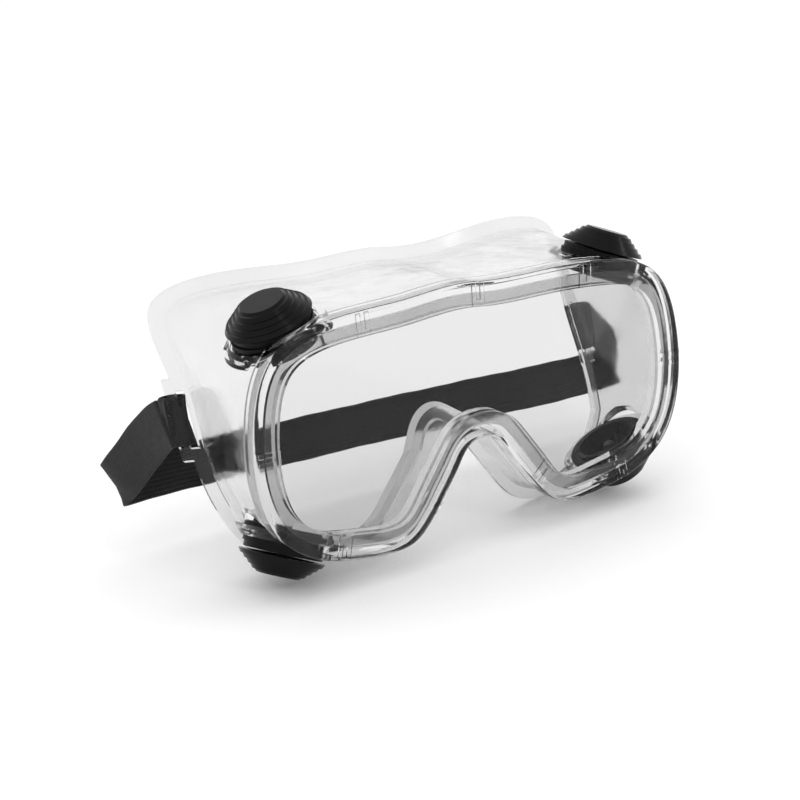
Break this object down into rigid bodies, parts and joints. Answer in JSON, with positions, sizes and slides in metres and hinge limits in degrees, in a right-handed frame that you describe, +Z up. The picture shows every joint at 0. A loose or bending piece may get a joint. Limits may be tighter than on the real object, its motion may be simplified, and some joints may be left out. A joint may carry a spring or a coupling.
{
  "type": "safety goggles",
  "caption": "Clear soft-framed chemical splash goggles with a flat lens, capped indirect vents that press shut and a black elastic strap on side ears.",
  "frame": {"origin": "on the table under the middle of the goggles' box, at rest on the cheek edge of the frame", "axes": "+Z up, +Y from the lens back to the face, +X to the right as seen from in front of the lens"},
  "size_m": [0.2136, 0.0803, 0.0925],
  "materials": {
    "clear_pvc": "clear soft PVC, faintly frosted",
    "clear_lens": "polished clear sheet",
    "black_plastic": "moulded black plastic",
    "black_gloss": "glossy moulded black plastic",
    "strap_web": "ribbed elastic webbing",
    "thread": "sewing thread"
  },
  "bodies": {
    "root": {"frame_body": "clear_pvc", "lens": "clear_lens", "strap_end_left": "strap_web", "strap_end_right": "strap_web", "strap_tack_left": "thread", "strap_tack_right": "thread", "vent_seat_top_left": "black_plastic", "vent_retainer_top_left": "black_plastic", "vent_seat_bottom_left": "black_plastic", "vent_retainer_bottom_left": "black_plastic", "vent_seat_top_right": "black_plastic", "vent_retainer_top_right": "black_plastic", "vent_seat_bottom_right": "black_plastic", "vent_retainer_bottom_right": "black_plastic"},
    "cap_top_left": {"vent_cap_top_left": "black_gloss"},
    "cap_bottom_left": {"vent_cap_bottom_left": "black_gloss"},
    "cap_top_right": {"vent_cap_top_right": "black_gloss"},
    "cap_bottom_right": {"vent_cap_bottom_right": "black_gloss"},
    "hoop": {"strap_hoop": "strap_web"}
  },
  "joints": [
    {"name": "cap_top_left_press", "type": "slide", "parent": "root", "child": "cap_top_left", "axis": [-0.3409, -0.0797, 0.9367], "range_m": [-0.0008, 0]},
    {"name": "cap_bottom_left_press", "type": "slide", "parent": "root", "child": "cap_bottom_left", "axis": [-0.4179, -0.1483, -0.8963], "range_m": [-0.0008, 0]},
    {"name": "cap_top_right_press", "type": "slide", "parent": "root", "child": "cap_top_right", "axis": [0.3409, -0.0797, 0.9367], "range_m": [-0.0008, 0]},
    {"name": "cap_bottom_right_press", "type": "slide", "parent": "root", "child": "cap_bottom_right", "axis": [0.4179, -0.1483, -0.8963], "range_m": [-0.0008, 0]},
    {"name": "strap_swing", "type": "hinge", "parent": "root", "child": "hoop", "pos_m": [0, 0.01271, 0.04886], "axis": [1, 0, 0], "range_deg": [-20, 85]}
  ]
}
